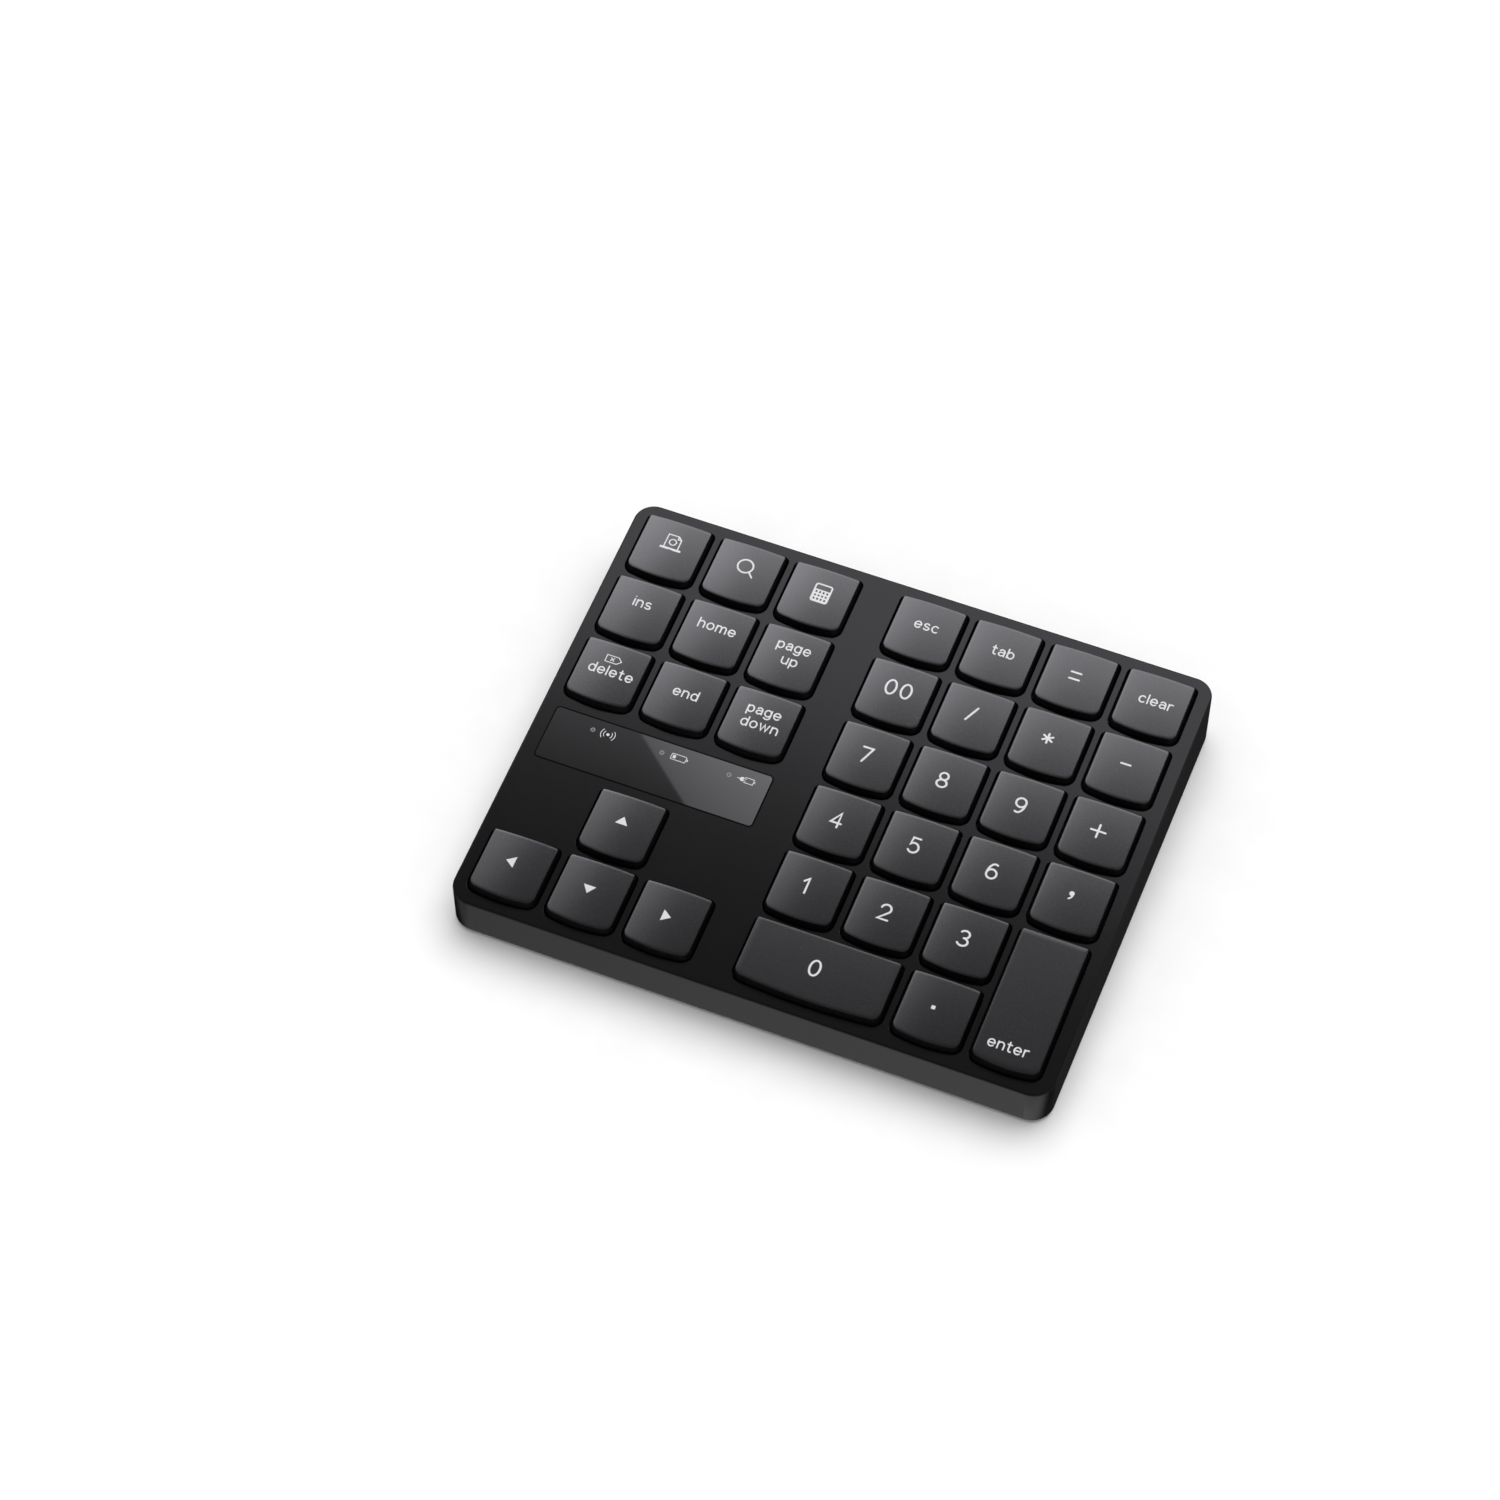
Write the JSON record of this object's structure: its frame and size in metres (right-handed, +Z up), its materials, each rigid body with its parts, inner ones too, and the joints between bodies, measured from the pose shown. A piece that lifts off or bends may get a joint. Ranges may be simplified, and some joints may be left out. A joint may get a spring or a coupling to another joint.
{
  "type": "numeric keypad",
  "caption": "Wireless numeric keypad: a low wedge-shaped case with sprung keys in two blocks, a glossy status strip, a charge socket and a power switch.",
  "frame": {"origin": "middle of the footprint, on the surface that the feet stand on", "axes": "+X to the user's right, +Y away from the user to the rear edge, +Z up"},
  "size_m": [0.146, 0.1198, 0.0203],
  "materials": {
    "case_plastic": "fine satin texture, near black",
    "key_plastic": "smooth satin, dark grey, white printed legends",
    "inner_plastic": "plain moulded grey",
    "smoked_plastic": "polished, dark smoked",
    "silicone": "translucent matt white",
    "polyester_film": "smooth film with printed tracks",
    "steel": "zinc-plated",
    "board_lacquer": "green solder resist",
    "nickel_can": "nickel-plated",
    "led_package": "clear over white",
    "battery_foil": "soft foil pouch",
    "lead_jacket": "smooth red insulation",
    "socket_shell": "nickel-plated",
    "switch_shell": "nickel-plated",
    "switch_plastic": "plain black",
    "rubber": "matt black",
    "legend_ink": "white printed legends on the keys and the status strip"
  },
  "bodies": {
    "case": {"top_case": "case_plastic", "bottom_case": "case_plastic", "key_guide_plate": "inner_plastic", "dome_sheet": "silicone", "membrane_circuit": "polyester_film", "support_plate": "steel", "controller_board": "board_lacquer", "radio_module": "nickel_can", "led_wireless": "led_package", "led_battery": "led_package", "led_charge": "led_package", "indicator_window": "smoked_plastic", "battery": "battery_foil", "battery_lead": "lead_jacket", "usb_c_socket": "socket_shell", "power_switch_body": "switch_shell", "foot_front_left": "rubber", "foot_front_right": "rubber", "foot_rear_left": "rubber", "foot_rear_right": "rubber", "case_screw_front": "steel", "case_screw_rear": "steel"},
    "key_print_screen": {"key_print_screen": "key_plastic"},
    "key_search": {"key_search": "key_plastic"},
    "key_calculator": {"key_calculator": "key_plastic"},
    "key_insert": {"key_insert": "key_plastic"},
    "key_home": {"key_home": "key_plastic"},
    "key_page_up": {"key_page_up": "key_plastic"},
    "key_delete": {"key_delete": "key_plastic"},
    "key_end": {"key_end": "key_plastic"},
    "key_page_down": {"key_page_down": "key_plastic"},
    "key_arrow_up": {"key_arrow_up": "key_plastic"},
    "key_arrow_left": {"key_arrow_left": "key_plastic"},
    "key_arrow_down": {"key_arrow_down": "key_plastic"},
    "key_arrow_right": {"key_arrow_right": "key_plastic"},
    "key_escape": {"key_escape": "key_plastic"},
    "key_tab": {"key_tab": "key_plastic"},
    "key_equals": {"key_equals": "key_plastic"},
    "key_clear": {"key_clear": "key_plastic"},
    "key_double_zero": {"key_double_zero": "key_plastic"},
    "key_divide": {"key_divide": "key_plastic"},
    "key_multiply": {"key_multiply": "key_plastic"},
    "key_minus": {"key_minus": "key_plastic"},
    "key_7": {"key_7": "key_plastic"},
    "key_8": {"key_8": "key_plastic"},
    "key_9": {"key_9": "key_plastic"},
    "key_plus": {"key_plus": "key_plastic"},
    "key_4": {"key_4": "key_plastic"},
    "key_5": {"key_5": "key_plastic"},
    "key_6": {"key_6": "key_plastic"},
    "key_comma": {"key_comma": "key_plastic"},
    "key_1": {"key_1": "key_plastic"},
    "key_2": {"key_2": "key_plastic"},
    "key_3": {"key_3": "key_plastic"},
    "key_decimal": {"key_decimal": "key_plastic"},
    "key_0": {"key_0": "key_plastic"},
    "key_enter": {"key_enter": "key_plastic"},
    "stabilizer_bar_0": {"stabilizer_bar_0": "steel"},
    "stabilizer_bar_enter": {"stabilizer_bar_enter": "steel"},
    "power_switch_slider": {"power_switch_slider": "switch_plastic"}
  },
  "joints": [
    {"name": "key_print_screen_press", "type": "slide", "parent": "case", "child": "key_print_screen", "axis": [0, 0.0478, -0.9989], "range_m": [0, 0.0018], "stiffness_N_per_m": 250, "springref_m": -0.0014, "deforming": ["dome_sheet"]},
    {"name": "key_search_press", "type": "slide", "parent": "case", "child": "key_search", "axis": [0, 0.0478, -0.9989], "range_m": [0, 0.0018], "stiffness_N_per_m": 250, "springref_m": -0.0014, "deforming": ["dome_sheet"]},
    {"name": "key_calculator_press", "type": "slide", "parent": "case", "child": "key_calculator", "axis": [0, 0.0478, -0.9989], "range_m": [0, 0.0018], "stiffness_N_per_m": 250, "springref_m": -0.0014, "deforming": ["dome_sheet"]},
    {"name": "key_insert_press", "type": "slide", "parent": "case", "child": "key_insert", "axis": [0, 0.0478, -0.9989], "range_m": [0, 0.0018], "stiffness_N_per_m": 250, "springref_m": -0.0014, "deforming": ["dome_sheet"]},
    {"name": "key_home_press", "type": "slide", "parent": "case", "child": "key_home", "axis": [0, 0.0478, -0.9989], "range_m": [0, 0.0018], "stiffness_N_per_m": 250, "springref_m": -0.0014, "deforming": ["dome_sheet"]},
    {"name": "key_page_up_press", "type": "slide", "parent": "case", "child": "key_page_up", "axis": [0, 0.0478, -0.9989], "range_m": [0, 0.0018], "stiffness_N_per_m": 250, "springref_m": -0.0014, "deforming": ["dome_sheet"]},
    {"name": "key_delete_press", "type": "slide", "parent": "case", "child": "key_delete", "axis": [0, 0.0478, -0.9989], "range_m": [0, 0.0018], "stiffness_N_per_m": 250, "springref_m": -0.0014, "deforming": ["dome_sheet"]},
    {"name": "key_end_press", "type": "slide", "parent": "case", "child": "key_end", "axis": [0, 0.0478, -0.9989], "range_m": [0, 0.0018], "stiffness_N_per_m": 250, "springref_m": -0.0014, "deforming": ["dome_sheet"]},
    {"name": "key_page_down_press", "type": "slide", "parent": "case", "child": "key_page_down", "axis": [0, 0.0478, -0.9989], "range_m": [0, 0.0018], "stiffness_N_per_m": 250, "springref_m": -0.0014, "deforming": ["dome_sheet"]},
    {"name": "key_arrow_up_press", "type": "slide", "parent": "case", "child": "key_arrow_up", "axis": [0, 0.0478, -0.9989], "range_m": [0, 0.0018], "stiffness_N_per_m": 250, "springref_m": -0.0014, "deforming": ["dome_sheet"]},
    {"name": "key_arrow_left_press", "type": "slide", "parent": "case", "child": "key_arrow_left", "axis": [0, 0.0478, -0.9989], "range_m": [0, 0.0018], "stiffness_N_per_m": 250, "springref_m": -0.0014, "deforming": ["dome_sheet"]},
    {"name": "key_arrow_down_press", "type": "slide", "parent": "case", "child": "key_arrow_down", "axis": [0, 0.0478, -0.9989], "range_m": [0, 0.0018], "stiffness_N_per_m": 250, "springref_m": -0.0014, "deforming": ["dome_sheet"]},
    {"name": "key_arrow_right_press", "type": "slide", "parent": "case", "child": "key_arrow_right", "axis": [0, 0.0478, -0.9989], "range_m": [0, 0.0018], "stiffness_N_per_m": 250, "springref_m": -0.0014, "deforming": ["dome_sheet"]},
    {"name": "key_escape_press", "type": "slide", "parent": "case", "child": "key_escape", "axis": [0, 0.0478, -0.9989], "range_m": [0, 0.0018], "stiffness_N_per_m": 250, "springref_m": -0.0014, "deforming": ["dome_sheet"]},
    {"name": "key_tab_press", "type": "slide", "parent": "case", "child": "key_tab", "axis": [0, 0.0478, -0.9989], "range_m": [0, 0.0018], "stiffness_N_per_m": 250, "springref_m": -0.0014, "deforming": ["dome_sheet"]},
    {"name": "key_equals_press", "type": "slide", "parent": "case", "child": "key_equals", "axis": [0, 0.0478, -0.9989], "range_m": [0, 0.0018], "stiffness_N_per_m": 250, "springref_m": -0.0014, "deforming": ["dome_sheet"]},
    {"name": "key_clear_press", "type": "slide", "parent": "case", "child": "key_clear", "axis": [0, 0.0478, -0.9989], "range_m": [0, 0.0018], "stiffness_N_per_m": 250, "springref_m": -0.0014, "deforming": ["dome_sheet"]},
    {"name": "key_double_zero_press", "type": "slide", "parent": "case", "child": "key_double_zero", "axis": [0, 0.0478, -0.9989], "range_m": [0, 0.0018], "stiffness_N_per_m": 250, "springref_m": -0.0014, "deforming": ["dome_sheet"]},
    {"name": "key_divide_press", "type": "slide", "parent": "case", "child": "key_divide", "axis": [0, 0.0478, -0.9989], "range_m": [0, 0.0018], "stiffness_N_per_m": 250, "springref_m": -0.0014, "deforming": ["dome_sheet"]},
    {"name": "key_multiply_press", "type": "slide", "parent": "case", "child": "key_multiply", "axis": [0, 0.0478, -0.9989], "range_m": [0, 0.0018], "stiffness_N_per_m": 250, "springref_m": -0.0014, "deforming": ["dome_sheet"]},
    {"name": "key_minus_press", "type": "slide", "parent": "case", "child": "key_minus", "axis": [0, 0.0478, -0.9989], "range_m": [0, 0.0018], "stiffness_N_per_m": 250, "springref_m": -0.0014, "deforming": ["dome_sheet"]},
    {"name": "key_7_press", "type": "slide", "parent": "case", "child": "key_7", "axis": [0, 0.0478, -0.9989], "range_m": [0, 0.0018], "stiffness_N_per_m": 250, "springref_m": -0.0014, "deforming": ["dome_sheet"]},
    {"name": "key_8_press", "type": "slide", "parent": "case", "child": "key_8", "axis": [0, 0.0478, -0.9989], "range_m": [0, 0.0018], "stiffness_N_per_m": 250, "springref_m": -0.0014, "deforming": ["dome_sheet"]},
    {"name": "key_9_press", "type": "slide", "parent": "case", "child": "key_9", "axis": [0, 0.0478, -0.9989], "range_m": [0, 0.0018], "stiffness_N_per_m": 250, "springref_m": -0.0014, "deforming": ["dome_sheet"]},
    {"name": "key_plus_press", "type": "slide", "parent": "case", "child": "key_plus", "axis": [0, 0.0478, -0.9989], "range_m": [0, 0.0018], "stiffness_N_per_m": 250, "springref_m": -0.0014, "deforming": ["dome_sheet"]},
    {"name": "key_4_press", "type": "slide", "parent": "case", "child": "key_4", "axis": [0, 0.0478, -0.9989], "range_m": [0, 0.0018], "stiffness_N_per_m": 250, "springref_m": -0.0014, "deforming": ["dome_sheet"]},
    {"name": "key_5_press", "type": "slide", "parent": "case", "child": "key_5", "axis": [0, 0.0478, -0.9989], "range_m": [0, 0.0018], "stiffness_N_per_m": 250, "springref_m": -0.0014, "deforming": ["dome_sheet"]},
    {"name": "key_6_press", "type": "slide", "parent": "case", "child": "key_6", "axis": [0, 0.0478, -0.9989], "range_m": [0, 0.0018], "stiffness_N_per_m": 250, "springref_m": -0.0014, "deforming": ["dome_sheet"]},
    {"name": "key_comma_press", "type": "slide", "parent": "case", "child": "key_comma", "axis": [0, 0.0478, -0.9989], "range_m": [0, 0.0018], "stiffness_N_per_m": 250, "springref_m": -0.0014, "deforming": ["dome_sheet"]},
    {"name": "key_1_press", "type": "slide", "parent": "case", "child": "key_1", "axis": [0, 0.0478, -0.9989], "range_m": [0, 0.0018], "stiffness_N_per_m": 250, "springref_m": -0.0014, "deforming": ["dome_sheet"]},
    {"name": "key_2_press", "type": "slide", "parent": "case", "child": "key_2", "axis": [0, 0.0478, -0.9989], "range_m": [0, 0.0018], "stiffness_N_per_m": 250, "springref_m": -0.0014, "deforming": ["dome_sheet"]},
    {"name": "key_3_press", "type": "slide", "parent": "case", "child": "key_3", "axis": [0, 0.0478, -0.9989], "range_m": [0, 0.0018], "stiffness_N_per_m": 250, "springref_m": -0.0014, "deforming": ["dome_sheet"]},
    {"name": "key_decimal_press", "type": "slide", "parent": "case", "child": "key_decimal", "axis": [0, 0.0478, -0.9989], "range_m": [0, 0.0018], "stiffness_N_per_m": 250, "springref_m": -0.0014, "deforming": ["dome_sheet"]},
    {"name": "key_0_press", "type": "slide", "parent": "case", "child": "key_0", "axis": [0, 0.0478, -0.9989], "range_m": [0, 0.0018], "stiffness_N_per_m": 250, "springref_m": -0.0014, "deforming": ["dome_sheet"]},
    {"name": "key_enter_press", "type": "slide", "parent": "case", "child": "key_enter", "axis": [0, 0.0478, -0.9989], "range_m": [0, 0.0018], "stiffness_N_per_m": 250, "springref_m": -0.0014, "deforming": ["dome_sheet"]},
    {"name": "stabilizer_bar_0_turn", "type": "hinge", "parent": "case", "child": "stabilizer_bar_0", "pos_m": [0.0133, -0.05282, 0.01002], "axis": [-1, 0, 0], "range_deg": [0, 15.5]},
    {"name": "stabilizer_bar_enter_turn", "type": "hinge", "parent": "case", "child": "stabilizer_bar_enter", "pos_m": [0.0658, -0.03834, 0.01071], "axis": [0, -0.9989, -0.0478], "range_deg": [0, 15.5]},
    {"name": "power_switch_slide", "type": "slide", "parent": "case", "child": "power_switch_slider", "axis": [0, 0.9989, 0.0478], "range_m": [0, 0.0025]}
  ],
  "couplings": [
    {"joint": "stabilizer_bar_0_turn", "follows": "key_0_press", "rad_per_m": 146.7},
    {"joint": "stabilizer_bar_enter_turn", "follows": "key_enter_press", "rad_per_m": 146.7}
  ]
}
